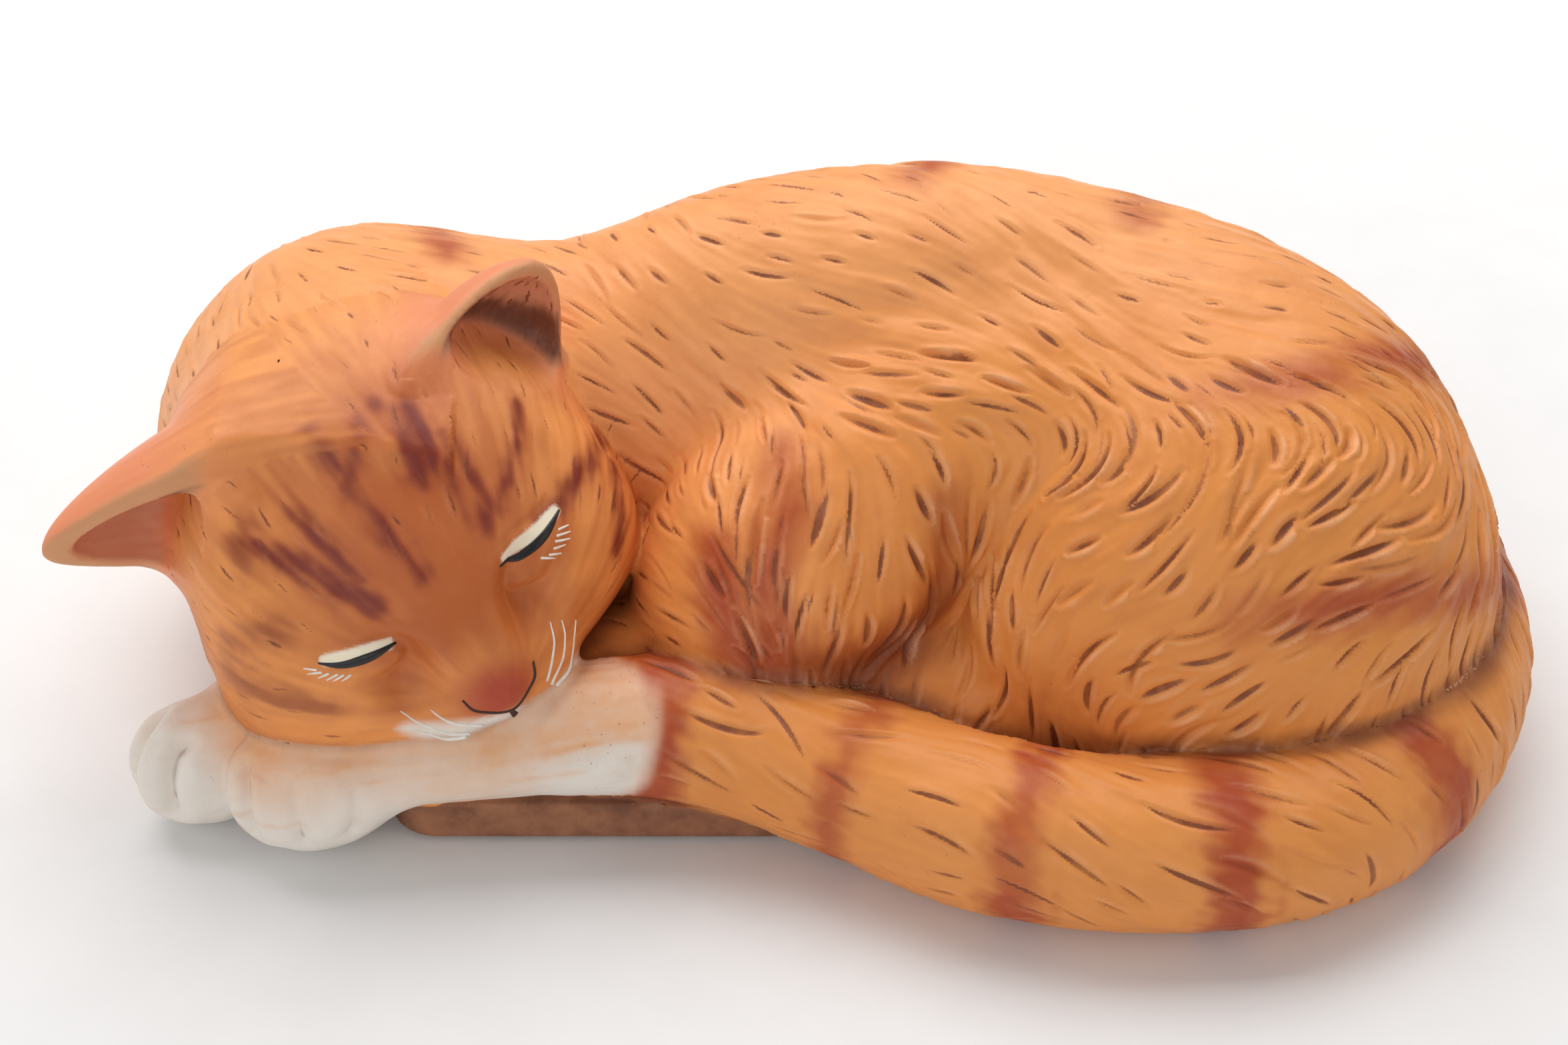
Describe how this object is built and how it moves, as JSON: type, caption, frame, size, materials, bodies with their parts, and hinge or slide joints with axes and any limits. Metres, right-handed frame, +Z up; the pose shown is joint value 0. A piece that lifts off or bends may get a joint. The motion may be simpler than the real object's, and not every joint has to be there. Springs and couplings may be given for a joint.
{
  "type": "ceramic cat figurine",
  "caption": "Life-size hollow ceramic figurine of a curled-up sleeping cat, head on its forelegs and tail round the front; stands on a table as an ornament.",
  "frame": {"origin": "centre of the bounding box in plan, at the table under the felt pads", "axes": "+X from the head's end to the rump along the cat's length, +Y to the cat's back, +Z up"},
  "size_m": [0.3598, 0.1929, 0.1268],
  "materials": {
    "painted_bisque": "matt painted bisque, orange tabby",
    "white_bisque": "matt painted bisque, white with peach shading",
    "ear_bisque": "matt painted bisque, pink and orange",
    "base_bisque": "matt painted bisque, brown, unpainted underneath",
    "felt": "pressed felt"
  },
  "bodies": {
    "root": {"base": "base_bisque", "body": "painted_bisque", "head": "painted_bisque", "ear_left": "ear_bisque", "ear_right": "ear_bisque", "foreleg_outer": "white_bisque", "foreleg_inner": "white_bisque", "tail": "painted_bisque", "felt_pads": "felt"}
  },
  "joints": []
}
